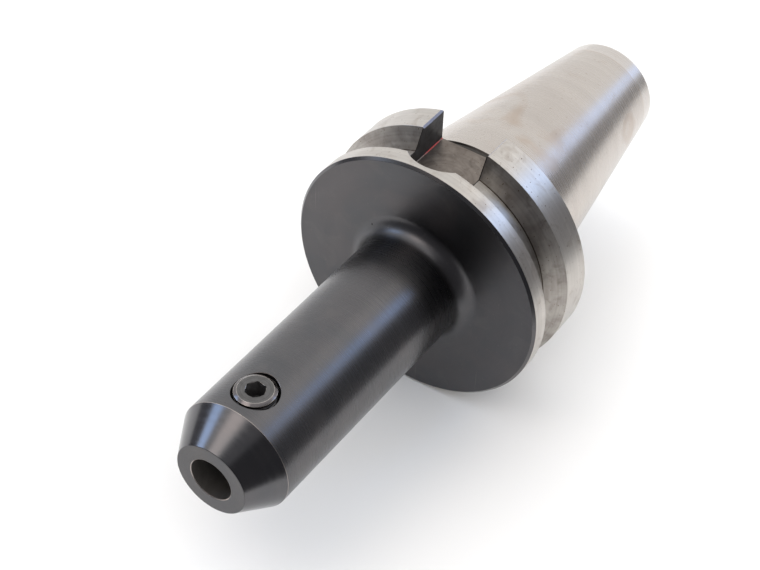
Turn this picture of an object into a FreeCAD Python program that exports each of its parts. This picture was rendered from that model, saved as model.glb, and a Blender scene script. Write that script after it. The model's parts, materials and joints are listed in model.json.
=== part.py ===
# Side-lock end mill holder with a 7/24 taper shank, size 50, for a 5/8 inch tool shank.
# Frame: the tool axis is Y and the nose points to -Y, +Z is up through one drive slot and the
# clamp screw, and the origin is the centre of the gauge plane. All sizes are in millimetres.

import FreeCAD
import Part
import math
import os

V = FreeCAD.Vector
TOOL_AXIS = V(0, 1, 0)
UP = V(0, 0, 1)

# Taper shank
GAUGE_D = 69.85
TAPER_RATE = 7.0 / 24.0
TAPER_LENGTH = 101.8
SMALL_END_CHAMFER = 1.0
NECK_D = 68.8
NECK_FILLET = 0.6

# Drive flange
FLANGE_D = 100.0
FLANGE_BACK = 3.0
FLANGE_FRONT = 38.0
BACK_EDGE_CHAMFER = 0.8
FRONT_EDGE_CHAMFER = 1.0
GROOVE_CENTRE = 23.2
GROOVE_BOTTOM_D = 85.0
GROOVE_MOUTH = 15.0
GROOVE_WALL_ANGLE = math.radians(30)

# Drive slots, milled in from the back face by a cutter as wide as the slot
SLOT_WIDTH = 25.7
SLOT_FLOOR = 35.4
SLOT_END = 34.9
SLOT_EDGE_CHAMFER = 0.9

# Nose
BODY_D = 42.0
FLANGE_FILLET = 6.0
NOSE_FACE = 152.4
NOSE_CONE_LENGTH = 12.7
NOSE_FACE_D = 27.0

# Tool bore and the drilling behind it
BORE_D = 15.88
BORE_DEPTH = 58.0
BORE_CHAMFER = 0.6
THROUGH_D = 10.0
DRILL_HALF_ANGLE = math.radians(59)

# Retention knob thread M24 (modelled at its core diameter) and its pilot
KNOB_PILOT_D = 25.0
KNOB_PILOT_DEPTH = 10.0
KNOB_MOUTH_CHAMFER = 0.8
KNOB_THREAD_OUTER_D = 24.0
KNOB_THREAD_CORE_D = 20.75
KNOB_DRILL_DEPTH = 62.0

# Clamp screw 9/16-18 with a flat point and a 1/4 inch hexagon socket, and its hole
SCREW_ALONG = 128.7
SCREW_D = 14.288
SCREW_TOP = 21.3
SCREW_LENGTH = 12.5
SCREW_FACE_D = 12.1
SCREW_BEVEL_DROP = 0.62
SCREW_TAIL_CHAMFER = 0.9
SOCKET_AF = 6.35
SOCKET_DEPTH = 6.5
SOCKET_MOUTH_CHAMFER = 0.3
SOCKET_TURN = -5.0
POINT_D = 10.9
POINT_LENGTH = 2.6
POINT_CHAMFER = 0.5
POINT_GAP = 0.02
HOLE_D = 14.4
HOLE_MOUTH_D = 16.0
HOLE_MOUTH_FLOOR = 18.4


# Solid of revolution about the tool axis. Corners are (radius, distance in front of the gauge
# plane); a corner written as a pair of them is an arc through the first to the second.
def turned(corners):
    def place(corner):
        return V(corner[0], -corner[1], 0)

    edges = []
    last = corners[0]
    for corner in corners[1:] + corners[:1]:
        if isinstance(corner[0], tuple):
            middle, end = corner
            edges.append(Part.Arc(place(last), place(middle), place(end)).toShape())
            last = end
        else:
            edges.append(Part.makeLine(place(last), place(corner)))
            last = corner
    return Part.Face(Part.Wire(edges)).revolve(V(0, 0, 0), TOOL_AXIS, 360)


# Middle and end of a quarter-circle fillet, from its centre and the two directions it spans
def fillet(centre, radius, start, end):
    half = math.sqrt(0.5)
    middle = tuple(c + radius * half * (s + e) for c, s, e in zip(centre, start, end))
    return middle, tuple(c + radius * e for c, e in zip(centre, end))


def taper_radius(along):
    return GAUGE_D / 2 + along * TAPER_RATE / 2


def outer_corners():
    body = BODY_D / 2
    flange = FLANGE_D / 2
    neck = NECK_D / 2
    root = GROOVE_BOTTOM_D / 2
    mouth_half = GROOVE_MOUTH / 2
    floor_half = mouth_half - (flange - root) * math.tan(GROOVE_WALL_ANGLE)
    small_edge = SMALL_END_CHAMFER - TAPER_LENGTH
    blend = (body + FLANGE_FILLET, FLANGE_FRONT + FLANGE_FILLET)
    undercut = (neck + NECK_FILLET, FLANGE_BACK - NECK_FILLET)
    return [
        (NOSE_FACE_D / 2, NOSE_FACE),
        (body, NOSE_FACE - NOSE_CONE_LENGTH),
        (body, FLANGE_FRONT + FLANGE_FILLET),
        fillet(blend, FLANGE_FILLET, (-1, 0), (0, -1)),
        (flange - FRONT_EDGE_CHAMFER, FLANGE_FRONT),
        (flange, FLANGE_FRONT - FRONT_EDGE_CHAMFER),
        (flange, GROOVE_CENTRE + mouth_half),
        (root, GROOVE_CENTRE + floor_half),
        (root, GROOVE_CENTRE - floor_half),
        (flange, GROOVE_CENTRE - mouth_half),
        (flange, FLANGE_BACK + BACK_EDGE_CHAMFER),
        (flange - BACK_EDGE_CHAMFER, FLANGE_BACK),
        (neck + NECK_FILLET, FLANGE_BACK),
        fillet(undercut, NECK_FILLET, (0, 1), (-1, 0)),
        (neck, GAUGE_D / 2 - neck),
        (GAUGE_D / 2, 0.0),
        (taper_radius(small_edge), small_edge),
        (taper_radius(small_edge) - SMALL_END_CHAMFER, -TAPER_LENGTH),
    ]


def inner_corners():
    pilot = KNOB_PILOT_D / 2
    core = KNOB_THREAD_CORE_D / 2
    crest = KNOB_THREAD_OUTER_D / 2 + 0.1
    through = THROUGH_D / 2
    bore = BORE_D / 2
    pilot_floor = KNOB_PILOT_DEPTH - TAPER_LENGTH
    knob_drill_end = KNOB_DRILL_DEPTH - TAPER_LENGTH
    knob_point = (core - through) / math.tan(DRILL_HALF_ANGLE)
    bore_end = NOSE_FACE - BORE_DEPTH
    bore_point = (bore - through) / math.tan(DRILL_HALF_ANGLE)
    return [
        (pilot + KNOB_MOUTH_CHAMFER, -TAPER_LENGTH),
        (pilot, KNOB_MOUTH_CHAMFER - TAPER_LENGTH),
        (pilot, pilot_floor),
        (crest, pilot_floor),
        (core, pilot_floor + crest - core),
        (core, knob_drill_end),
        (through, knob_drill_end + knob_point),
        (through, bore_end - bore_point),
        (bore, bore_end),
        (bore, NOSE_FACE - BORE_CHAMFER),
        (bore + BORE_CHAMFER, NOSE_FACE),
    ]


def drive_slot():
    half = SLOT_WIDTH / 2
    centre = SLOT_END - half
    height = FLANGE_D / 2 - SLOT_FLOOR + 10
    straight = Part.makeBox(SLOT_WIDTH, centre + 5, height, V(-half, -centre, SLOT_FLOOR))
    end = Part.makeCylinder(half, height, V(0, -centre, SLOT_FLOOR), UP)
    return straight.fuse(end)


# Wedges that break the two straight edges of a drive slot on the back land of the flange
def slot_edge_wedges():
    half = SLOT_WIDTH / 2
    land = GROOVE_CENTRE - GROOVE_MOUTH / 2
    edge_z = math.sqrt((FLANGE_D / 2) ** 2 - half ** 2)
    lean = math.asin(half / (FLANGE_D / 2))
    wedges = []
    for side in (-1, 1):
        on_wall = V(side * half, 0, edge_z - SLOT_EDGE_CHAMFER)
        reach_x = half + SLOT_EDGE_CHAMFER * math.cos(lean)
        on_land = V(side * reach_x, 0, edge_z - SLOT_EDGE_CHAMFER * math.sin(lean))
        outside = V(side * half, 0, edge_z + 2 * SLOT_EDGE_CHAMFER)
        beyond = on_land + (on_land - on_wall)
        section = Part.Face(Part.makePolygon([on_wall, beyond, outside, on_wall]))
        section.translate(V(0, 1, 0))
        wedges.append(section.extrude(V(0, -land - 2, 0)))
    return wedges


def clamp_hole():
    at = V(0, -SCREW_ALONG, 0)
    core = HOLE_D / 2
    mouth = HOLE_MOUTH_D / 2
    ease = mouth - core
    top = BODY_D / 2 + 5
    hole = Part.makeCylinder(core, top, at, UP)
    cone_at = at + UP * (HOLE_MOUTH_FLOOR - ease)
    hole = hole.fuse(Part.makeCone(core, mouth, ease, cone_at, UP))
    mouth_at = at + UP * HOLE_MOUTH_FLOOR
    return hole.fuse(Part.makeCylinder(mouth, top - HOLE_MOUTH_FLOOR, mouth_at, UP))


def holder_body():
    body = turned(outer_corners() + inner_corners())
    cutters = [drive_slot()] + slot_edge_wedges()
    for cutter in cutters:
        body = body.cut(cutter)
        cutter.rotate(V(0, 0, 0), TOOL_AXIS, 180)
        body = body.cut(cutter)
    return body.cut(clamp_hole())


def hexagon_prism(across_flats, depth, at):
    radius = across_flats / 2 / math.cos(math.pi / 6)
    corners = []
    for i in range(7):
        angle = math.radians(60 * i + SOCKET_TURN)
        corners.append(at + V(radius * math.cos(angle), radius * math.sin(angle), 0))
    return Part.Face(Part.makePolygon(corners)).extrude(V(0, 0, depth))


# Threaded barrel, with its thread drawn as a plain cylinder at the crest
def clamp_screw():
    crest = SCREW_D / 2
    face = SCREW_FACE_D / 2
    tail = crest - SCREW_TAIL_CHAMFER
    at = V(0, -SCREW_ALONG, 0)
    low = SCREW_TOP - SCREW_LENGTH + POINT_LENGTH
    shoulder = SCREW_TOP - SCREW_BEVEL_DROP
    barrel_low = low + SCREW_TAIL_CHAMFER
    screw = Part.makeCone(tail, crest, SCREW_TAIL_CHAMFER, at + UP * low, UP)
    barrel = Part.makeCylinder(crest, shoulder - barrel_low, at + UP * barrel_low, UP)
    bevel = Part.makeCone(crest, face, SCREW_BEVEL_DROP, at + UP * shoulder, UP)
    screw = screw.fuse(barrel).fuse(bevel).removeSplitter()

    socket_floor = at + UP * (SCREW_TOP - SOCKET_DEPTH)
    socket = hexagon_prism(SOCKET_AF, SOCKET_DEPTH + 1, socket_floor)
    drill = SOCKET_AF / 2
    drill_point = drill / math.tan(DRILL_HALF_ANGLE)
    tip = Part.makeCone(0, drill, drill_point, socket_floor - UP * drill_point, UP)
    corner = SOCKET_AF / 2 / math.cos(math.pi / 6)
    ease_at = at + UP * (SCREW_TOP - SOCKET_MOUTH_CHAMFER)
    ease = Part.makeCone(corner, corner + SOCKET_MOUTH_CHAMFER, SOCKET_MOUTH_CHAMFER, ease_at, UP)
    return screw.cut(socket).cut(tip).cut(ease)


# Turned flat point that bears on the flat of the tool shank
def clamp_screw_point():
    radius = POINT_D / 2
    at = V(0, -SCREW_ALONG, SCREW_TOP - SCREW_LENGTH)
    tip = Part.makeCone(radius - POINT_CHAMFER, radius, POINT_CHAMFER, at, UP)
    height = POINT_LENGTH - POINT_CHAMFER - POINT_GAP
    neck = Part.makeCylinder(radius, height, at + UP * POINT_CHAMFER, UP)
    return tip.fuse(neck).removeSplitter()


def main():
    os.makedirs("parts", exist_ok=True)
    nodes = {
        "holder_body": holder_body(),
        "clamp_screw": clamp_screw(),
        "clamp_screw_point": clamp_screw_point(),
    }
    for name, shape in nodes.items():
        if len(shape.Solids) != 1 or not shape.isValid():
            raise ValueError(f"{name} is not one valid solid")
        shape.exportStep(f"parts/{name}.step")
        print(f"{name}: {shape.Volume / 1000:.2f} cm3")


main()
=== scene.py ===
import bmesh
import bpy
import json
import math
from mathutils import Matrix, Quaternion, Vector


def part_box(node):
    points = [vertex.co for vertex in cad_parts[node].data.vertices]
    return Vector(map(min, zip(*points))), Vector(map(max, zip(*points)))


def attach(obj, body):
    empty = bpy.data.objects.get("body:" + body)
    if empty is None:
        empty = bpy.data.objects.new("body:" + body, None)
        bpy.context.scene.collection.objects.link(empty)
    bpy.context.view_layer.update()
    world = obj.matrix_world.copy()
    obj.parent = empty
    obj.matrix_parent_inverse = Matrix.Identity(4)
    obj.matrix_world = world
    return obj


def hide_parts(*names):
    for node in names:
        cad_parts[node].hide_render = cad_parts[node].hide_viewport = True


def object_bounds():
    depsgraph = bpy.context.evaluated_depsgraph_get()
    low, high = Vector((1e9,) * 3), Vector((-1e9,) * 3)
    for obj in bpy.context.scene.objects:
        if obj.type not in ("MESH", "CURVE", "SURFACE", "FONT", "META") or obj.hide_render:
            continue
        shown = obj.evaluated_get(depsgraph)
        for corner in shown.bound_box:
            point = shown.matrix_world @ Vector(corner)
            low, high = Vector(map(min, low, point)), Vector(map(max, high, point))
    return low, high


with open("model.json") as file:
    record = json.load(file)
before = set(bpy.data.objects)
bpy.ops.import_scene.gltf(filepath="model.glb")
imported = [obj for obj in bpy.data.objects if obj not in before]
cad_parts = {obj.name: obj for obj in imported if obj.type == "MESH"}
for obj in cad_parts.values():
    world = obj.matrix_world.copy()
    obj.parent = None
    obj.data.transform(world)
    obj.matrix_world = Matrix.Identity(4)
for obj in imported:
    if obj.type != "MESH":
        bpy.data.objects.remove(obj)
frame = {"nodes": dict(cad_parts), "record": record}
cadLow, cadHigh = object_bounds()
print("frame loaded:", ", ".join(sorted(frame["nodes"])))

# Shapes are worked out in millimetres and become metres as a mesh is made. The tool axis is Y and the
# nose points to -Y, so "along" is the distance in front of the gauge plane.
mm = 0.001
mounts = {m["name"]: m for m in frame["record"]["mounts"]}
holderLow, holderHigh = (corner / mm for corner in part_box("holder_body"))
screwLow, screwHigh = (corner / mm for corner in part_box("clamp_screw"))
pointLow, pointHigh = (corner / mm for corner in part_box("clamp_screw_point"))
screwAlong = -(screwLow.y + screwHigh.y) / 2


# sRGB hex to the linear values that shaders use
def hexColour(text):
    values = [int(text[i:i + 2], 16) / 255 for i in (1, 3, 5)]
    return [v / 12.92 if v <= 0.04045 else ((v + 0.055) / 1.055) ** 2.4 for v in values] + [1.0]


# Adds a node with its settings, then sets each input or links another node's output to it
def addNode(tree, kind, inputs=None, **settings):
    node = tree.nodes.new(kind)
    for name, value in settings.items():
        setattr(node, name, value)
    for key, value in (inputs or {}).items():
        named = [s for s in node.inputs if s.enabled and s.name == key]
        socket = named[0] if named else node.inputs[key]
        if isinstance(value, bpy.types.Node):
            value = next(s for s in value.outputs if s.enabled)
        if isinstance(value, bpy.types.NodeSocket):
            tree.links.new(value, socket)
        else:
            socket.default_value = value
    return node


# Noise levels between which each kind of mark fades in, and how broken up its pattern is
markNoise = {
    "cloud": {"from": 0.36, "to": 0.66, "detail": 4.0, "distortion": 0.7},
    "stain": {"from": 0.55, "to": 0.72, "detail": 6.0, "distortion": 1.1},
    "prick": {"from": 0.71, "to": 0.77, "detail": 1.0, "distortion": 0.0},
}
ringLevels = {"From Min": 0.3, "From Max": 0.7}
ringRoughness = 0.03
stainRoughness = 0.12
hairlines = {
    "tilt": (0.5, 0.9, 0.3),
    "perMillimetre": (1.9, 1.9, 0.038),  # 0.5 mm wide, coarser than real to show, and 26 mm long
    "levels": {"From Min": 0.80, "From Max": 0.86},
    "cut": 0.8,
}


# Lays one kind of mark over a colour. Gives back the new colour and where the mark is
def markOver(add, place, colour, spec, mark):
    noise = markNoise[mark]
    pattern = add(
        "ShaderNodeTexNoise",
        {
            "Vector": place, "Scale": 1 / (spec[mark + "Size"] * mm),
            "Detail": noise["detail"], "Distortion": noise["distortion"],
        },
    )
    share = add(
        "ShaderNodeMapRange",
        {
            "Value": pattern, "From Min": noise["from"], "From Max": noise["to"],
            "To Max": spec[mark + "Share"],
        },
    )
    marked = add(
        "ShaderNodeMix", {"Factor": share, "A": colour, "B": hexColour(spec[mark])}, data_type="RGBA",
    )
    return marked, share


# Steel worked round one axis. The spec holds its colours, the size of each mark and how deep it is.
# Tool marks follow (radius - along), which makes rings on a face, a barrel and a cone alike.
def turnedSteel(name, spec, centre=(0, 0, 0), axis=(0, 1, 0)):
    material = bpy.data.materials.new(name)
    material.use_nodes = True
    tree = material.node_tree
    tree.nodes.clear()

    def add(kind, inputs=None, **settings):
        return addNode(tree, kind, inputs, **settings)

    place = add("ShaderNodeTexCoord").outputs["Object"]
    offset = add("ShaderNodeVectorMath", {0: place, 1: centre}, operation="SUBTRACT")
    along = add("ShaderNodeVectorMath", {0: offset, 1: axis}, operation="DOT_PRODUCT")
    flat = add("ShaderNodeVectorMath", {0: offset, 1: [1.0 - a for a in axis]}, operation="MULTIPLY")
    radius = add("ShaderNodeVectorMath", {0: flat}, operation="LENGTH")
    path = add("ShaderNodeMath", {0: radius, 1: along}, operation="SUBTRACT")
    rings = add(
        "ShaderNodeTexNoise",
        {"W": path, "Scale": 1 / (spec["ringSpacing"] * mm), "Detail": 3.0, "Roughness": 0.65},
        noise_dimensions="1D",
    )
    bands = add(
        "ShaderNodeTexNoise", {"W": path, "Scale": 1 / (spec["bandSpacing"] * mm), "Detail": 1.0},
        noise_dimensions="1D",
    )

    # Broad cloud of a second tone, then stains, pinpricks and hairline scratches over it
    colour = markOver(add, place, hexColour(spec["base"]), spec, "cloud")[0]
    colour, stainMask = markOver(add, place, colour, spec, "stain")
    colour = markOver(add, place, colour, spec, "prick")[0]
    stretch = [count / mm for count in hairlines["perMillimetre"]]
    tilt = add("ShaderNodeMapping", {"Vector": place, "Rotation": hairlines["tilt"], "Scale": stretch})
    hair = add("ShaderNodeTexNoise", {"Vector": tilt, "Scale": 1.0, "Detail": 0.0, "Distortion": 0.05})
    hairMask = add(
        "ShaderNodeMapRange", {"Value": hair, **hairlines["levels"], "To Max": spec["scratchShare"]},
    )
    colour = add(
        "ShaderNodeMix",
        {"Factor": hairMask, "A": colour, "B": hexColour(spec["scratch"])},
        data_type="RGBA",
    )
    ringTone = add("ShaderNodeMapRange", {"Value": rings, **ringLevels, "To Min": 1.0 - spec["ringTone"]})
    bandTone = add("ShaderNodeMapRange", {"Value": bands, **ringLevels, "To Min": 1.0 - spec["bandTone"]})
    tone = add("ShaderNodeMath", {0: ringTone, 1: bandTone}, operation="MULTIPLY")
    colour = add(
        "ShaderNodeMix", {"Factor": 1.0, "A": colour, "B": tone}, data_type="RGBA", blend_type="MULTIPLY",
    )
    if "inkAcross" in spec:
        colour = inkLine(add, place, colour, spec)
    if "contactEdge" in spec:
        colour = contactEdge(add, along, colour, spec)
    if "edgeAcross" in spec:
        colour = darkSlotEdge(add, place, colour, spec)
    if "pit" in spec:
        colour = pitMark(add, place, colour, spec)

    # Roughness rises in the stains and varies a little from ring to ring
    low, high = spec["roughness"] - ringRoughness, spec["roughness"] + ringRoughness
    rough = add("ShaderNodeMapRange", {"Value": rings, **ringLevels, "To Min": low, "To Max": high})
    worn = add("ShaderNodeMath", {0: stainMask, 1: stainRoughness, 2: rough}, operation="MULTIPLY_ADD")

    # Relief: rings and grain stand up, hairlines are cut in
    grain = add(
        "ShaderNodeTexNoise",
        {"Vector": place, "Scale": 1 / (spec["grainSize"] * mm), "Detail": 2.0, "Roughness": 0.7},
    )
    relief = add("ShaderNodeMath", {0: grain, 1: spec["grainShare"], 2: rings}, operation="MULTIPLY_ADD")
    cut = add("ShaderNodeMath", {0: hairMask, 1: hairlines["cut"]}, operation="MULTIPLY")
    relief = add("ShaderNodeMath", {0: relief, 1: cut}, operation="SUBTRACT")
    bump = add("ShaderNodeBump", {"Height": relief, "Strength": 1.0, "Distance": spec["reliefDepth"] * mm})
    shader = add(
        "ShaderNodeBsdfPrincipled",
        {"Base Color": colour, "Metallic": spec.get("metallic", 1.0), "Roughness": worn, "Normal": bump},
    )
    add("ShaderNodeOutputMaterial", {"Surface": shader})
    return material


# Red layout line left in the rear corner of the upper slot, broken up where it has rubbed off
def inkLine(add, place, colour, spec):
    split = add("ShaderNodeSeparateXYZ", {"Vector": place})
    off = add("ShaderNodeMath", {0: split.outputs["X"], 1: spec["inkAcross"] * mm}, operation="SUBTRACT")
    off = add("ShaderNodeMath", {0: off}, operation="ABSOLUTE")
    width = spec["inkWidth"] * mm
    line = add(
        "ShaderNodeMapRange",
        {"Value": off, "From Min": width * 0.5, "From Max": width, "To Min": 1.0, "To Max": 0.0},
    )
    upper = add("ShaderNodeMath", {0: split.outputs["Z"], 1: 0.0}, operation="GREATER_THAN")
    rubbed = add(
        "ShaderNodeTexNoise", {"Vector": place, "Scale": 1 / (spec["inkRubSize"] * mm), "Detail": 2.0},
    )
    left = add(
        "ShaderNodeMapRange",
        {"Value": rubbed, "From Min": spec["inkRub"][0], "From Max": spec["inkRub"][1]},
    )
    rear = add(
        "ShaderNodeMapRange",
        {"Value": split.outputs["Y"], "From Min": -spec["inkEnd"] * mm, "From Max": -spec["inkFull"] * mm},
    )
    for share in (rear, upper, left):
        line = add("ShaderNodeMath", {0: line, 1: share}, operation="MULTIPLY")
    return add(
        "ShaderNodeMix", {"Factor": line, "A": colour, "B": hexColour(spec["ink"])}, data_type="RGBA",
    )


# Faint line and lighter band where the spindle socket ends and stops touching the taper
def contactEdge(add, along, colour, spec):
    start = spec["contactEdge"] * mm
    end = start + spec["bandFade"] * mm
    beyond = add(
        "ShaderNodeMapRange",
        {"Value": along, "From Min": start, "From Max": end, "To Max": spec["bandShare"]},
    )
    colour = add(
        "ShaderNodeMix",
        {"Factor": beyond, "A": colour, "B": hexColour(spec["bandColour"])},
        data_type="RGBA",
    )
    off = add("ShaderNodeMath", {0: along, 1: start}, operation="SUBTRACT")
    off = add("ShaderNodeMath", {0: off}, operation="ABSOLUTE")
    line = add(
        "ShaderNodeMapRange",
        {
            "Value": off, "From Min": 0.0, "From Max": spec["contactWidth"] * mm,
            "To Min": spec["contactShare"], "To Max": 0.0,
        },
    )
    return add(
        "ShaderNodeMix", {"Factor": line, "A": colour, "B": hexColour(spec["stain"])}, data_type="RGBA",
    )


# Darkens the groove steel out to a little past the drive slots' walls, fading over a short distance there
def darkSlotEdge(add, place, colour, spec):
    split = add("ShaderNodeSeparateXYZ", {"Vector": place})
    across = add("ShaderNodeMath", {0: split.outputs["X"]}, operation="ABSOLUTE")
    full = (spec["edgeAcross"] + spec["edgeWidth"]) * mm
    end = full + spec["edgeFade"] * mm
    line = add(
        "ShaderNodeMapRange",
        {"Value": across, "From Min": full, "From Max": end, "To Min": spec["edgeShare"], "To Max": 0.0},
    )
    return add(
        "ShaderNodeMix", {"Factor": line, "A": colour, "B": hexColour(spec["edge"])}, data_type="RGBA",
    )


# One dark pinprick of corrosion, full to 0.3 of its size from its middle and gone by 0.6
def pitMark(add, place, colour, spec):
    centre = [c * mm for c in spec["pit"]]
    off = add("ShaderNodeVectorMath", {0: place, 1: centre}, operation="DISTANCE")
    size = spec["pitSize"] * mm
    mark = add(
        "ShaderNodeMapRange",
        {
            "Value": off, "From Min": size * 0.3, "From Max": size * 0.6,
            "To Min": spec["pitShare"], "To Max": 0.0,
        },
    )
    return add(
        "ShaderNodeMix", {"Factor": mark, "A": colour, "B": hexColour(spec["pitColour"])}, data_type="RGBA",
    )


# Black oxide on turned steel: a near-black satin film, cool in tone, with fine even grain
blackOxide = {
    "base": "#606062", "cloud": "#676566", "cloudSize": 22.0, "cloudShare": 0.8,
    "stain": "#757170", "stainSize": 13.0, "stainShare": 0.25,
    "prick": "#8d8681", "prickSize": 0.9, "prickShare": 0.15,
    "scratch": "#8a8583", "scratchShare": 0.3,
    "ringSpacing": 0.5, "ringTone": 0.06,  # a turning feed is about 0.1 mm, drawn coarser so it shows
    "bandSpacing": 6.0, "bandTone": 0.04,
    "grainSize": 0.35, "grainShare": 7.0,  # etched grain is near 0.05 mm, drawn coarser so it shows
    "roughness": 0.28, "reliefDepth": 0.0011,
}

# Bare ground steel: bright and slightly warm, wheel lines round the taper, brown handling stains
groundSteel = {
    "base": "#c6bfb8", "cloud": "#bfb7b0", "cloudSize": 30.0, "cloudShare": 0.9,
    "stain": "#b3a08f", "stainSize": 24.0, "stainShare": 0.55,
    "prick": "#8a7360", "prickSize": 1.1, "prickShare": 0.4,
    "scratch": "#e0dcd8", "scratchShare": 0.2,
    "ringSpacing": 0.6, "ringTone": 0.055,  # wheel lines are about 0.05 mm apart, drawn coarser to show
    "bandSpacing": 9.0, "bandTone": 0.06,
    "grainSize": 0.3, "grainShare": 0.4,
    "roughness": 0.26, "reliefDepth": 0.0012,
}

# Turned lands of the flange: bare steel, duller, with brown bloom and rust pinpricks
landSteel = dict(
    groundSteel, base="#cbc6c0", cloud="#b5aea7", cloudSize=9.0, cloudShare=0.35,
    stain="#8d7a68", stainSize=6.0, stainShare=0.32, prick="#5d4433", prickSize=0.8, prickShare=0.8,
    ringSpacing=0.4, ringTone=0.14, bandSpacing=3.0, bandTone=0.1, roughness=0.32, reliefDepth=0.004,
)

# Form-turned gripper groove and the neck behind the flange: darker and browner, darker still in the inner
# corners.
# The edge numbers set that dark band along the slots' edges: distance from the middle, width, fade and
# strength.
grooveSteel = dict(
    landSteel, base="#bdb8b2", cloud="#97908a", cloudSize=7.0, cloudShare=0.8, stain="#756c63",
    stainShare=0.5, roughness=0.34,
    edge="#2c2927", edgeAcross=12.85, edgeWidth=0.25, edgeFade=0.2, edgeShare=0.9,
)

finishes = {
    "blackOxide": turnedSteel("blackOxideTurnedSteel", blackOxide),
    # Front of the flange and its root fillet: the same film with hardly any lathe rings, so what it
    # mirrors is blurred, and one tiny pit. Its base is a little darker: painted shade for the shadowed table
    # that it mirrors
    "faceOxide": turnedSteel(
        "blackOxideFlangeFace",
        dict(
            blackOxide, base="#5c5c5e", cloud="#636061", grainShare=4.0, ringTone=0.03, reliefDepth=0.0006,
            roughness=0.34, pit=(-17.8, -38.45, 17.15), pitSize=0.8, pitShare=0.85, pitColour="#161414",
        ),
    ),
    # End face of the nose: the same film, a little darker and duller
    "noseOxide": turnedSteel(
        "blackOxideNoseFace", dict(blackOxide, base="#58585a", cloud="#5f5d5d", roughness=0.3),
    ),
    # The cone was turned with a finer feed, so its film is smoother and mirrors more sharply
    "fineOxide": turnedSteel(
        "blackOxideFineTurned", dict(blackOxide, grainShare=5.0, reliefDepth=0.0008, roughness=0.2),
    ),
    # Film rubbed through to steel along the edges of the cone, the flange, the bore and the clamp hole
    "wornEdge": turnedSteel(
        "rubbedBlackOxideEdge", dict(landSteel, base="#b3aaa5", cloud="#7d7876", cloudSize=5.0),
    ),
    # Ground taper, with the mark of the spindle socket near its small end
    "taper": turnedSteel(
        "groundTaperSteel",
        dict(
            groundSteel, contactEdge=93.5, contactWidth=0.35, contactShare=0.45,
            bandColour="#d8d4d0", bandFade=0.3, bandShare=0.4,
        ),
    ),
    "land": turnedSteel("turnedLandSteel", landSteel),
    "groove": turnedSteel("turnedGrooveSteel", grooveSteel),
    # Darker band in the inner corners of the groove and the neck
    "grooveCorner": turnedSteel(
        "oiledGrooveCorner", dict(grooveSteel, base="#5c5148", cloud="#463d36", ringTone=0.3),
    ),
    # Walls of the drive slots: black oxide over coarse milling
    "slotWall": turnedSteel(
        "blackOxideMilledWall",
        dict(blackOxide, base="#626262", cloud="#464646", cloudSize=3.0, ringSpacing=0.9, roughness=0.4),
    ),
    # Chamfer of the slot: ground steel, its faint blue tint a painted reflection of the blue window that it
    # mirrors
    "slotEdge": turnedSteel(
        "bluedGroundChamfer",
        dict(landSteel, base="#a9a7ae", cloud="#8f8d98", stain="#8d8a92", ringTone=0.08, roughness=0.36),
    ),
    # Honed tool bore and the drilling behind it, oiled and unpolished
    "bore": turnedSteel(
        "honedBoreSteel",
        dict(blackOxide, base="#5c5855", cloud="#4a4744", metallic=0.5, roughness=0.45, reliefDepth=0.01),
    ),
    # Cut thread for the retention knob: grey steel with tearing along the turns
    "thread": turnedSteel(
        "cutThreadSteel", dict(landSteel, base="#8b8580", cloud="#6c6661", roughness=0.4),
    ),
}

# Slot floor: end-milled steel, its oxide rubbed thin and brown. The arcs are the sweep of the cutter,
# which is as wide as the slot, so the rings run about the centre of the round end.
slotFloorSteel = dict(
    landSteel, base="#8f867e", cloud="#766d66", cloudSize=6.0, cloudShare=1.0,
    stain="#5e554e", stainSize=5.0, stainShare=0.6, ringSpacing=1.1, ringTone=0.22,
    bandSpacing=5.0, bandTone=0.15, roughness=0.42, reliefDepth=0.012,
    ink="#b44e4c", inkAcross=-12.62, inkWidth=0.23, inkFull=12.0, inkEnd=16.5,
    inkRubSize=3.5, inkRub=(0.2, 0.45),
)
upAxis = (0, 0, 1)
slotEndCentre = (0, -0.0221, 0)
finishes["slotFloor"] = turnedSteel("milledSlotFloor", slotFloorSteel, slotEndCentre, upAxis)

# Clamp screw: heat-treated alloy steel, thin satin oxide with lathe rings about its own axis
screwOxide = dict(
    blackOxide, base="#6e6d6d", cloud="#5f5e5d", cloudSize=3.0, stainSize=2.5,
    prickSize=0.4, prickShare=0.4, ringSpacing=0.45, ringTone=0.16, bandSpacing=1.6, bandTone=0.1,
    grainSize=0.2, reliefDepth=0.005, roughness=0.3,
)
screwFinishes = {
    "screwFace": ("satinOxideScrewSteel", screwOxide),
    # Bevel: the same film, turned smoother, so it mirrors the windows
    "screwBevel": (
        "satinOxideScrewBevel",
        dict(screwOxide, base="#747071", cloud="#636061", grainShare=1.0, roughness=0.16),
    ),
    # Edges rubbed bright by the hole and the key
    "screwRim": ("rubbedScrewRim", dict(screwOxide, base="#d8d1ca", cloud="#b5afa9", roughness=0.2)),
    # Broached socket: rough, its near-black colour painted shade for the deep recess, so it hardly mirrors
    "screwSocket": (
        "broachedSocketSteel",
        dict(screwOxide, base="#3c3b3b", cloud="#302f2f", metallic=0.1, roughness=0.6),
    ),
}
screwCentre = (0, -screwAlong * mm, 0)
for finish, (name, spec) in screwFinishes.items():
    finishes[finish] = turnedSteel(name, spec, screwCentre, upAxis)
finishNames = list(finishes)
print("materials made:", len(finishes))


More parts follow.
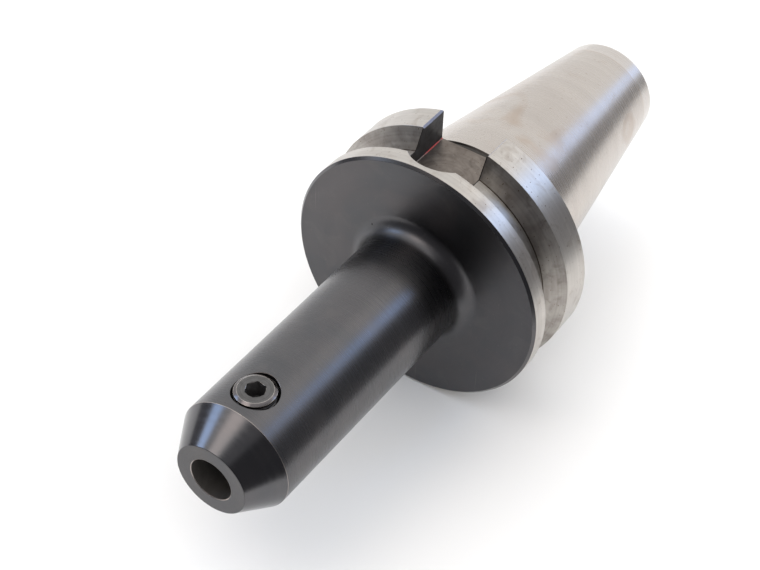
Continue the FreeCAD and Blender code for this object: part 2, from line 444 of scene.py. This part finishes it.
# Rounds the corners of a closed profile. A corner is (radius, along, edge radius, finish up to the next
# corner, finish of the edge itself if it differs), and what comes back is rows of (radius, along, finish).
def roundedProfile(corners, closed=True, steps=5):
    rows = []
    count = len(corners)
    for i, corner in enumerate(corners):
        radius, along, edge, finish = corner[:4]
        previous = corners[i - 1]
        following = corners[(i + 1) % count]
        if edge == 0 or (not closed and i in (0, count - 1)):
            rows.append((radius, along, finish))
            continue
        here = Vector((radius, along))
        back = (Vector(previous[:2]) - here).normalized()
        on = (Vector(following[:2]) - here).normalized()
        half = back.angle(on) / 2
        centre = here + (back + on).normalized() * edge / math.sin(half)
        start = (here + back * edge / math.tan(half) - centre).normalized()
        end = (here + on * edge / math.tan(half) - centre).normalized()
        arcFinish = corner[4] if len(corner) > 4 else previous[3]
        for step in range(steps + 1):
            spoke = start.slerp(end, step / steps) * edge
            rows.append((centre.x + spoke.x, centre.y + spoke.y, arcFinish if step < steps else finish))
    return rows


# Points of one ring about the tool axis or, for upright=True, about the screw's own axis
def ringPoints(radius, along, segments, upright=False, shape=None):
    points = []
    for k in range(segments if radius > 0 else 1):
        turn = 2 * math.pi * k / segments
        reach, height = shape(radius, along, k / segments) if shape else (radius, along)
        if upright:
            points.append(Vector((reach * math.cos(turn), reach * math.sin(turn) - screwAlong, height)))
        else:
            points.append(Vector((reach * math.sin(turn), -height, reach * math.cos(turn))))
    return points


# Joins rings of points into a skin. Rings are (points, finish), a ring of one point closes into a fan
def skin(name, rings, closed=False, capped=False):
    bm = bmesh.new()
    made = [[bm.verts.new(p * mm) for p in points] for points, finish in rings]
    for i in range(len(made) if closed else len(made) - 1):
        here, there = made[i], made[(i + 1) % len(made)]
        count = max(len(here), len(there))
        for k in range(count):
            after = (k + 1) % count
            near = [here[k % len(here)], here[after % len(here)]]
            far = [there[after % len(there)], there[k % len(there)]]
            face = bm.faces.new(list(dict.fromkeys(near + far)))
            face.material_index = finishNames.index(rings[i][1])
    if capped:
        bm.faces.new(made[0]).material_index = finishNames.index(rings[0][1])
        bm.faces.new(made[-1]).material_index = finishNames.index(rings[-1][1])
    bmesh.ops.recalc_face_normals(bm, faces=bm.faces)
    mesh = bpy.data.meshes.new(name)
    bm.to_mesh(mesh)
    bm.free()
    for finish in finishNames:
        mesh.materials.append(finishes[finish])
    piece = bpy.data.objects.new(name, mesh)
    bpy.context.scene.collection.objects.link(piece)
    return piece


# Cuts the tools out of a piece and leaves the result in the piece's own mesh
def cutAway(piece, cutters):
    for cutter in cutters:
        cut = piece.modifiers.new("cut", "BOOLEAN")
        cut.operation = "DIFFERENCE"
        cut.solver = "EXACT"
        cut.material_mode = "TRANSFER"
        cut.object = cutter
    bpy.context.view_layer.update()
    result = bpy.data.meshes.new_from_object(piece.evaluated_get(bpy.context.evaluated_depsgraph_get()))
    piece.modifiers.clear()
    piece.data = result
    for cutter in cutters:
        bpy.data.objects.remove(cutter)


# Drops the finishes a piece doesn't wear, shades it smooth and keeps its real edges crisp
def finishMesh(piece, body, node, sharpAngle=32, faceWeight=60):
    mesh = piece.data
    used = sorted({polygon.material_index for polygon in mesh.polygons})
    worn = [mesh.materials[i] for i in used]
    indices = [used.index(polygon.material_index) for polygon in mesh.polygons]
    mesh.materials.clear()
    for material in worn:
        mesh.materials.append(material)
    mesh.polygons.foreach_set("material_index", indices)
    mesh.polygons.foreach_set("use_smooth", [True] * len(mesh.polygons))
    mesh.set_sharp_from_angle(angle=math.radians(sharpAngle))
    mesh.update()
    weighted = piece.modifiers.new("weightedNormals", "WEIGHTED_NORMAL")
    weighted.keep_sharp = True
    weighted.weight = faceWeight
    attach(piece, body)
    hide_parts(node)
    print(f"{piece.name}: {len(mesh.polygons)} faces")


# Share of a 60 degree thread's depth at a point a fraction of the pitch past the middle of a groove
def threadGroove(fraction, mouthHalf=0.375, flank=0.3125):
    off = abs((fraction + 0.5) % 1 - 0.5)
    return min(1.0, max(0.0, (mouthHalf - off) / flank))


holder = {
    "gaugeRadius": 34.925,
    "taperRate": 7 / 48,  # 7/24 on the diameter
    "taperEnd": -holderHigh.y,
    "smallEndChamfer": 1.0,
    "neckRadius": 34.4,
    "flangeRadius": holderHigh.x,
    "flangeBack": 3.0,
    "flangeFront": 38.0,
    "frontChamfer": 1.0,
    "backChamfer": 0.8,
    "grooveCentre": 23.2,
    "grooveRadius": 42.5,
    "grooveMouth": 15.0,
    "grooveFlank": 30.0,
    "barrelRadius": 21.0,
    "rootFillet": 6.0,
    "noseFace": -holderLow.y,
    "coneLength": 12.7,
    "noseFaceRadius": 13.5,
    "boreRadius": mounts["tool_bore"]["dims"]["r_mm"],
    "boreDepth": 58.0,
    "boreChamfer": 0.25,
    "throughRadius": 5.0,
    "pilotRadius": mounts["retention_knob_pilot"]["dims"]["r_mm"],
    "pilotDepth": 10.0,
    "pilotChamfer": 0.8,
    "threadCore": mounts["retention_knob_thread"]["dims"]["r_mm"],
    "threadDepth": 1.55,
    "threadPitch": 3.0,
    "threadEntry": 1.725,  # chamfer where the thread starts
    "threadRunOut": 4.0,
    "drillDepth": 62.0,
    "drillPoint": 59.0,  # half the angle of a drill's point
    "edgeRadii": {
        "noseFace": 0.25, "cone": 0.35, "boreMouth": 0.08,
        "frontFace": 0.15, "rim": 0.12, "grooveMouth": 0.2, "grooveFloor": 0.4,
        "neckRoot": 0.6, "neck": 0.05, "gaugeLine": 0.1, "taperEnd": 0.3, "smallEnd": 0.15,
    },
    "segments": 192,
}


def holderProfile():
    h = holder
    edge = h["edgeRadii"]
    mouthHalf = h["grooveMouth"] / 2
    flankSlope = math.tan(math.radians(h["grooveFlank"]))
    floorHalf = mouthHalf - (h["flangeRadius"] - h["grooveRadius"]) * flankSlope
    smallEdge = h["taperEnd"] + h["smallEndChamfer"]
    smallRadius = h["gaugeRadius"] + smallEdge * h["taperRate"]
    crest = h["threadCore"] + h["threadEntry"]
    pilotFloor = h["taperEnd"] + h["pilotDepth"]
    threadStart = pilotFloor + crest - h["threadCore"]
    drillEnd = h["taperEnd"] + h["drillDepth"]
    drillSlope = math.tan(math.radians(h["drillPoint"]))
    boreEnd = h["noseFace"] - h["boreDepth"]
    return [
        (h["noseFaceRadius"], h["noseFace"], edge["noseFace"], "fineOxide"),
        (h["barrelRadius"], h["noseFace"] - h["coneLength"], edge["cone"], "blackOxide", "wornEdge"),
        (h["barrelRadius"], h["flangeFront"], h["rootFillet"], "faceOxide", "faceOxide"),
        (h["flangeRadius"] - h["frontChamfer"], h["flangeFront"], edge["frontFace"], "fineOxide"),
        (h["flangeRadius"], h["flangeFront"] - h["frontChamfer"], edge["rim"], "land", "wornEdge"),
        (h["flangeRadius"], h["grooveCentre"] + mouthHalf, edge["grooveMouth"], "groove", "land"),
        (h["grooveRadius"], h["grooveCentre"] + floorHalf, edge["grooveFloor"], "groove", "grooveCorner"),
        (h["grooveRadius"], h["grooveCentre"] - floorHalf, edge["grooveFloor"], "groove", "grooveCorner"),
        (h["flangeRadius"], h["grooveCentre"] - mouthHalf, edge["grooveMouth"], "land", "land"),
        (h["flangeRadius"], h["flangeBack"] + h["backChamfer"], edge["rim"], "land"),
        (h["flangeRadius"] - h["backChamfer"], h["flangeBack"], edge["rim"], "land"),
        (h["neckRadius"], h["flangeBack"], edge["neckRoot"], "groove", "grooveCorner"),
        (h["neckRadius"], h["gaugeRadius"] - h["neckRadius"], edge["neck"], "groove"),
        (h["gaugeRadius"], 0.0, edge["gaugeLine"], "taper"),
        (smallRadius, smallEdge, edge["taperEnd"], "taper"),
        (smallRadius - h["smallEndChamfer"], h["taperEnd"], edge["smallEnd"], "blackOxide"),
        (h["pilotRadius"] + h["pilotChamfer"], h["taperEnd"], edge["smallEnd"], "bore"),
        (h["pilotRadius"], h["taperEnd"] + h["pilotChamfer"], edge["smallEnd"], "bore"),
        (h["pilotRadius"], pilotFloor, edge["smallEnd"], "bore"),
        (crest, pilotFloor, 0, "thread"),
        (h["threadCore"], threadStart, 0, "thread"),
        (h["threadCore"], drillEnd, 0, "bore"),
        (h["throughRadius"], drillEnd + (h["threadCore"] - h["throughRadius"]) / drillSlope, 0, "bore"),
        (h["throughRadius"], boreEnd - (h["boreRadius"] - h["throughRadius"]) / drillSlope, 0, "bore"),
        (h["boreRadius"], boreEnd, 0, "bore"),
        (h["boreRadius"], h["noseFace"] - h["boreChamfer"], edge["boreMouth"], "wornEdge"),
        (h["boreRadius"] + h["boreChamfer"], h["noseFace"], edge["boreMouth"], "noseOxide", "wornEdge"),
    ]


# Adds rows wherever a long barrel would leave long thin faces, and the fine rows of the knob thread
def dividedRows(rows, longest=12.0, rowsPerPitch=10):
    result = []
    for i, row in enumerate(rows):
        radius, along, finish = row
        nextRadius, nextAlong = rows[(i + 1) % len(rows)][:2]
        isThread = finish == "thread" and radius == nextRadius
        longestHere = holder["threadPitch"] / rowsPerPitch if isThread else longest
        pieces = max(1, math.ceil(abs(nextAlong - along) / longestHere))
        for step in range(pieces):
            share = step / pieces
            reach = radius + (nextRadius - radius) * share
            result.append((reach, along + (nextAlong - along) * share, finish))
    return result


def cutKnobThread(radius, along, turnShare, tolerance=0.01):
    h = holder
    start = h["taperEnd"] + h["pilotDepth"] + h["threadEntry"]
    end = h["taperEnd"] + h["drillDepth"]
    if radius > h["threadCore"] + tolerance or not start < along < end:
        return radius, along
    fade = min(1.0, (end - along) / h["threadRunOut"])
    return radius + h["threadDepth"] * fade * threadGroove(along / h["threadPitch"] + turnShare), along


holderRings = [
    (ringPoints(radius, along, holder["segments"], shape=cutKnobThread), finish)
    for radius, along, finish in dividedRows(roundedProfile(holderProfile()))
]
holderPiece = skin("holderBody", holderRings, closed=True)
print("holder turned")

driveSlot = {
    "width": 25.7,
    "floor": 35.4,
    "end": 34.9,
    "floorCorner": 0.5,
    "backLandBreak": 0.9,  # generous chamfer on the back land, light break elsewhere
    "edgeBreak": 0.2,
    "backLandFront": 15.7,
    "stations": (-6.0, 2.0, 4.5, 8.0, 12.0, 15.0, 16.5, 20.0),  # where the straight walls have points
    "endSteps": 48,
    "cornerSteps": 4,
    "clearance": 12.0,
}


# Outline of the slot seen from above, open at the back, each point with its outward direction
def slotOutline():
    half = driveSlot["width"] / 2
    centre = driveSlot["end"] - half
    outline = []
    for along in driveSlot["stations"]:
        outline.append((Vector((half, along)), Vector((1, 0))))
    for step in range(driveSlot["endSteps"] + 1):
        turn = math.pi * step / driveSlot["endSteps"]
        outward = Vector((math.cos(turn), math.sin(turn)))
        outline.append((Vector((0, centre)) + outward * half, outward))
    for along in reversed(driveSlot["stations"]):
        outline.append((Vector((-half, along)), Vector((-1, 0))))
    return outline


def slotCutter(side):
    s = driveSlot
    rings = []
    corner = s["floorCorner"]
    for step in range(s["cornerSteps"] + 1):  # rounded corner between the floor and the wall
        turn = math.pi / 2 * step / s["cornerSteps"]
        inset = corner * (1 - math.sin(turn))
        height = s["floor"] + corner * (1 - math.cos(turn))
        ring = [(p - outward * inset, height) for p, outward in slotOutline()]
        rings.append((ring, "slotFloor" if step < s["cornerSteps"] else "slotWall"))
    for level in (-1, 1):  # chamfer where the wall meets the rim
        ring = []
        for p, outward in slotOutline():
            edge = s["backLandBreak"] if p.y < s["backLandFront"] else s["edgeBreak"]
            rim = math.sqrt(holder["flangeRadius"] ** 2 - min(abs(p.x), holder["flangeRadius"]) ** 2)
            ring.append((p + outward * edge * (level + 1), rim + edge * level))
        rings.append((ring, "slotEdge"))
    rings.append(([(p, holder["flangeRadius"] + s["clearance"]) for p, height in rings[-1][0]], "slotEdge"))
    placed = [
        ([Vector((side * p.x, -p.y, side * height)) for p, height in ring], finish)
        for ring, finish in rings
    ]
    cutter = skin("slotCutter", placed, capped=True)
    floorFace = min(cutter.data.polygons, key=lambda polygon: abs(abs(polygon.center.z) - s["floor"] * mm))
    floorFace.material_index = finishNames.index("slotFloor")
    return cutter


clampHole = {
    "coreRadius": 7.2,
    "mouthRadius": 8.0,
    "mouthFloor": 18.4,
    "edgeBreak": 0.15,
    "cutBottom": 3.0,
    "cutTop": 30.0,
    "segments": 96,
}


# The mouth's edge follows the barrel, so its break does too
def overBarrel(radius, height, turnShare):
    if height != 0:
        return radius, height
    c = clampHole
    across = c["mouthRadius"] * math.cos(2 * math.pi * turnShare)
    rim = math.sqrt(holder["barrelRadius"] ** 2 - across ** 2)
    return radius, rim + (radius - c["mouthRadius"]) - c["edgeBreak"]


def holeCutter():
    c = clampHole
    rows = [
        (c["coreRadius"], c["cutBottom"], "slotWall"),
        (c["coreRadius"], c["mouthFloor"] - c["mouthRadius"] + c["coreRadius"], "slotWall"),
        (c["mouthRadius"], c["mouthFloor"], "slotWall"),
        (c["mouthRadius"], 0, "wornEdge"),
        (c["mouthRadius"] + 2 * c["edgeBreak"], 0, "wornEdge"),
        (c["mouthRadius"] + 2 * c["edgeBreak"], c["cutTop"], "wornEdge"),
    ]
    rings = [
        (ringPoints(r, z, c["segments"], upright=True, shape=overBarrel), finish) for r, z, finish in rows
    ]
    return skin("holeCutter", rings, capped=True)


cutAway(holderPiece, [slotCutter(1), slotCutter(-1), holeCutter()])
finishMesh(holderPiece, "holder", "holder_body")

clampScrew = {
    "crestRadius": 7.144,
    "threadDepth": 0.78,
    "threadPitch": 25.4 / 18,
    "threadRunOut": 1.2,
    "rowsPerPitch": 10,
    "plainCollar": 0.5,  # left without thread under the bevel
    "faceRadius": 6.05,
    "top": screwHigh.z,
    "bottom": screwLow.z,
    "bevelDrop": 0.62,
    "bevelBase": 0.3,  # straight edge that the bevel stands on
    "crestEdge": 0.24,
    "faceEdge": 0.18,
    "tailChamfer": 0.9,
    "socketFlats": 6.35,
    "socketDepth": 6.5,
    "socketTurn": -5.0,
    "drillPoint": 59.0,
    "drillClear": 0.02,
    "mouthRadius": 3.42,  # countersink, wider than the flats but not the corners
    "mouthBreak": 0.03,
    "segments": 96,
}


# Distance from the axis to the hexagon's wall, in the direction of a share of a full turn. The walls
# repeat every 60 degrees
def hexReach(turnShare):
    turn = math.degrees(2 * math.pi * turnShare) - clampScrew["socketTurn"] - 30
    within = (turn + 30) % 60 - 30
    return clampScrew["socketFlats"] / 2 / math.cos(math.radians(within))


# The countersink takes the edge off the middle of each flat and leaves the corners sharp
def mouthReach(turnShare):
    return max(hexReach(turnShare) + clampScrew["mouthBreak"], clampScrew["mouthRadius"])


def screwShape(radius, height, turnShare):
    s = clampScrew
    if radius != s["crestRadius"]:
        return radius, height
    threadTop = s["top"] - s["bevelDrop"] - s["plainCollar"]
    fade = max(0.0, min(1.0, (threadTop - height) / s["threadRunOut"]))
    groove = threadGroove(height / s["threadPitch"] - turnShare)
    return radius - s["threadDepth"] * fade * groove, height


def screwRings():
    s = clampScrew
    tail = s["crestRadius"] - s["tailChamfer"]
    rimHeight = s["top"] - s["bevelDrop"]
    rows = [(0, s["bottom"], "screwFace"), (tail, s["bottom"], "screwFace")]
    lowest = s["bottom"] + s["tailChamfer"]
    highest = rimHeight - s["bevelBase"]
    count = math.ceil((highest - lowest) / s["threadPitch"] * s["rowsPerPitch"])
    for step in range(count + 1):
        rows.append((s["crestRadius"], lowest + (highest - lowest) * step / count, "screwFace"))
    bevel = roundedProfile(
        [
            (s["crestRadius"], highest, 0, "screwRim"),
            (s["crestRadius"], rimHeight, s["crestEdge"], "screwBevel", "screwRim"),
            (s["faceRadius"], s["top"], s["faceEdge"], "screwFace", "screwRim"),
            (s["mouthRadius"], s["top"], 0, "screwFace"),
        ],
        closed=False,
    )
    justOver = 1e-6  # keeps screwShape from cutting thread into the bevel
    rows += [(r + justOver, z, finish) for r, z, finish in bevel[1:-1]]
    rings = [
        (ringPoints(r, z, s["segments"], upright=True, shape=screwShape), finish) for r, z, finish in rows
    ]
    drillRadius = s["socketFlats"] / 2
    drillTip = s["top"] - s["socketDepth"] - drillRadius / math.tan(math.radians(s["drillPoint"]))
    levels = [
        (lambda share: (mouthReach(share), s["top"]), "screwRim"),
        (lambda share: (hexReach(share), s["top"] - mouthReach(share) + hexReach(share)), "screwSocket"),
        (lambda share: (hexReach(share), s["top"] - s["socketDepth"]), "screwSocket"),
        (lambda share: (drillRadius - s["drillClear"], s["top"] - s["socketDepth"]), "screwSocket"),
    ]
    for level, finish in levels:
        points = ringPoints(1.0, 0.0, s["segments"], upright=True, shape=lambda r, z, share: level(share))
        rings.append((points, finish))
    rings.append(([Vector((0, -screwAlong, drillTip))], "screwSocket"))
    return rings


screwPiece = skin("clampScrewBarrel", screwRings())
finishMesh(screwPiece, "screw_barrel", "clamp_screw")

screwPoint = {
    "radius": pointHigh.x,
    "bottom": pointLow.z,
    "top": pointHigh.z,
    "chamfer": 0.5,
    "edgeRadius": 0.12,
    "shoulderBreak": 0.1,
    "segments": 96,
}


def pointRings():
    p = screwPoint
    profile = [
        (0, p["bottom"], 0, "screwRim"),
        (p["radius"] - p["chamfer"], p["bottom"], p["edgeRadius"], "screwRim"),
        (p["radius"], p["bottom"] + p["chamfer"], p["edgeRadius"], "screwFace"),
        (p["radius"], p["top"] - p["shoulderBreak"], 0, "screwFace"),
        (p["radius"] - p["shoulderBreak"], p["top"], 0, "screwFace"),
        (0, p["top"], 0, "screwFace"),
    ]
    rows = roundedProfile(profile, closed=False)
    return [(ringPoints(r, z, p["segments"], upright=True), finish) for r, z, finish in rows]


pointPiece = skin("clampScrewPoint", pointRings())
finishMesh(pointPiece, "screw_point", "clamp_screw_point")


# Pale matt table top. It is three boards edge to edge, and the steel mirrors only the one under it and
# to its left, so that the unlit side of the room shows in the barrel as past the edge of a small table.
tableTop = {
    "base": "#f4f3f1", "shade": "#efeeec", "cloudSize": 260.0, "roughness": 0.75,
    "boards": {
        "mainBoard": ((-3, -0.3), (0.07, -0.3), (0.82, 3), (-3, 3)),
        "rightBoard": ((0.07, -0.3), (3, -0.3), (3, 3), (0.82, 3)),
        "frontBoard": ((-3, -3), (3, -3), (3, -0.3), (-3, -0.3)),
    },
}


def makeTableTop():
    material = bpy.data.materials.new("matteTableTop")
    material.use_nodes = True
    tree = material.node_tree
    tree.nodes.clear()
    place = addNode(tree, "ShaderNodeTexCoord").outputs["Object"]
    cloud = addNode(
        tree, "ShaderNodeTexNoise",
        {"Vector": place, "Scale": 1 / (tableTop["cloudSize"] * mm), "Detail": 3.0},
    )
    tones = {"A": hexColour(tableTop["base"]), "B": hexColour(tableTop["shade"])}
    colour = addNode(tree, "ShaderNodeMix", {"Factor": cloud, **tones}, data_type="RGBA")
    shader = addNode(
        tree, "ShaderNodeBsdfPrincipled", {"Base Color": colour, "Roughness": tableTop["roughness"]},
    )
    addNode(tree, "ShaderNodeOutputMaterial", {"Surface": shader})
    for name, corners in tableTop["boards"].items():
        bm = bmesh.new()
        bm.faces.new([bm.verts.new((x, y, cadLow.z)) for x, y in corners])
        mesh = bpy.data.meshes.new(name)
        bm.to_mesh(mesh)
        bm.free()
        mesh.materials.append(material)
        board = bpy.data.objects.new(name, mesh)
        board.visible_glossy = name == "mainBoard"
        bpy.context.scene.collection.objects.link(board)


makeTableTop()

# White room that lights the table and shows in the steel, and the plain pale tone that the camera sees in
# its place. Each patch is a round soft area of the room: where it is (turn from the nose's direction towards
# +X, and lift above the horizon), how far it stays full, where it ends, in degrees, its colour and its gain.
room = {
    "wall": "#ffffff",
    "wallGain": 1.1,
    "seen": "#f8f8f7",
    "patches": {
        "unlit side": (72, 17, 38, 56, "#66666a", 1.0),
        "unlit front": (-10, 3, 42, 54, "#66666a", 1.0),
        "shaded ceiling": (28, 52, 8, 19, "#a4a4a8", 1.0),
        "gap over the table": (132, 3, 19, 28, "#808083", 1.0),
        "doorway": (-80, 7, 8, 20, "#8c8c93", 1.0),
        "wall by the right window": (158, 51, 5, 16, "#fffdfa", 1.45),
        "right window": (142, 34, 4.5, 9.5, "#b4d0ff", 4.0),
        "window jamb": (157, 18, 3, 9, "#c4d8ff", 2.1),
        "left window": (-71, 32, 5, 12, "#bdd7ff", 4.5),
        "ceiling light": (-31, 59, 5, 17, "#fff6f1", 2.7),
    },
}


def direction(turn, lift):
    turn, lift = math.radians(turn), math.radians(lift)
    return Vector((math.sin(turn) * math.cos(lift), -math.cos(turn) * math.cos(lift), math.sin(lift)))


def makeRoom():
    world = bpy.data.worlds.new("studioRoom")
    bpy.context.scene.world = world
    world.use_nodes = True
    tree = world.node_tree
    tree.nodes.clear()
    look = addNode(tree, "ShaderNodeTexCoord").outputs["Generated"]
    colour = [channel * room["wallGain"] for channel in hexColour(room["wall"])]
    for turn, lift, full, end, hexText, gain in room["patches"].values():
        facing = addNode(
            tree, "ShaderNodeVectorMath", {0: look, 1: direction(turn, lift)}, operation="DOT_PRODUCT",
        )
        ends = {"From Min": math.cos(math.radians(end)), "From Max": math.cos(math.radians(full))}
        share = addNode(
            tree, "ShaderNodeMapRange", {"Value": facing, **ends}, interpolation_type="SMOOTHSTEP",
        )
        light = [channel * gain for channel in hexColour(hexText)]
        colour = addNode(
            tree, "ShaderNodeMix", {"Factor": share, "A": colour, "B": light}, data_type="RGBA",
        )
    seen = addNode(tree, "ShaderNodeLightPath").outputs["Is Camera Ray"]
    colour = addNode(
        tree, "ShaderNodeMix",
        {"Factor": seen, "A": colour, "B": hexColour(room["seen"])},
        data_type="RGBA",
    )
    backdrop = addNode(tree, "ShaderNodeBackground", {"Color": colour})
    addNode(tree, "ShaderNodeOutputWorld", {"Surface": backdrop})


makeRoom()

# Large soft lights from behind on the left and from the right. They are for the table: the steel doesn't
# mirror them
softLights = [
    {"name": "keyLight", "place": (-0.8, 0.7, 1.4), "size": 1.8, "power": 13.0},
    {"name": "fillLight", "place": (1.1, -0.6, 1.2), "size": 1.8, "power": 19.0},
]


def makeSoftLight(spec):
    light = bpy.data.lights.new(spec["name"], "AREA")
    light.shape = "SQUARE"
    light.size = spec["size"]
    light.energy = spec["power"]
    lamp = bpy.data.objects.new(spec["name"], light)
    lamp.location = spec["place"]
    lamp.rotation_euler = (-Vector(spec["place"])).to_track_quat("-Z", "Y").to_euler()
    lamp.visible_glossy = False
    bpy.context.scene.collection.objects.link(lamp)


for softLight in softLights:
    makeSoftLight(softLight)
print("floor, room and light made")

camera = {
    "place": (0.23995, -0.43088, 0.43180),
    "aim": (-0.01793, -0.03148, -0.01769),
    "roll": 2.52,
    "lens": 84.53,
    "sensor": 36.0,
    "nearest": 0.01,
    "farthest": 20.0,
}


def makeCamera():
    data = bpy.data.cameras.new("camera")
    data.lens = camera["lens"]
    data.sensor_width = camera["sensor"]
    data.clip_start = camera["nearest"]
    data.clip_end = camera["farthest"]
    eye = bpy.data.objects.new("camera", data)
    eye.location = camera["place"]
    look = (Vector(camera["aim"]) - Vector(camera["place"])).to_track_quat("-Z", "Y")
    eye.rotation_mode = "QUATERNION"
    eye.rotation_quaternion = look @ Quaternion((0, 0, 1), math.radians(camera["roll"]))
    bpy.context.scene.collection.objects.link(eye)
    bpy.context.scene.camera = eye
    bpy.context.scene.view_settings.view_transform = "Standard"


makeCamera()
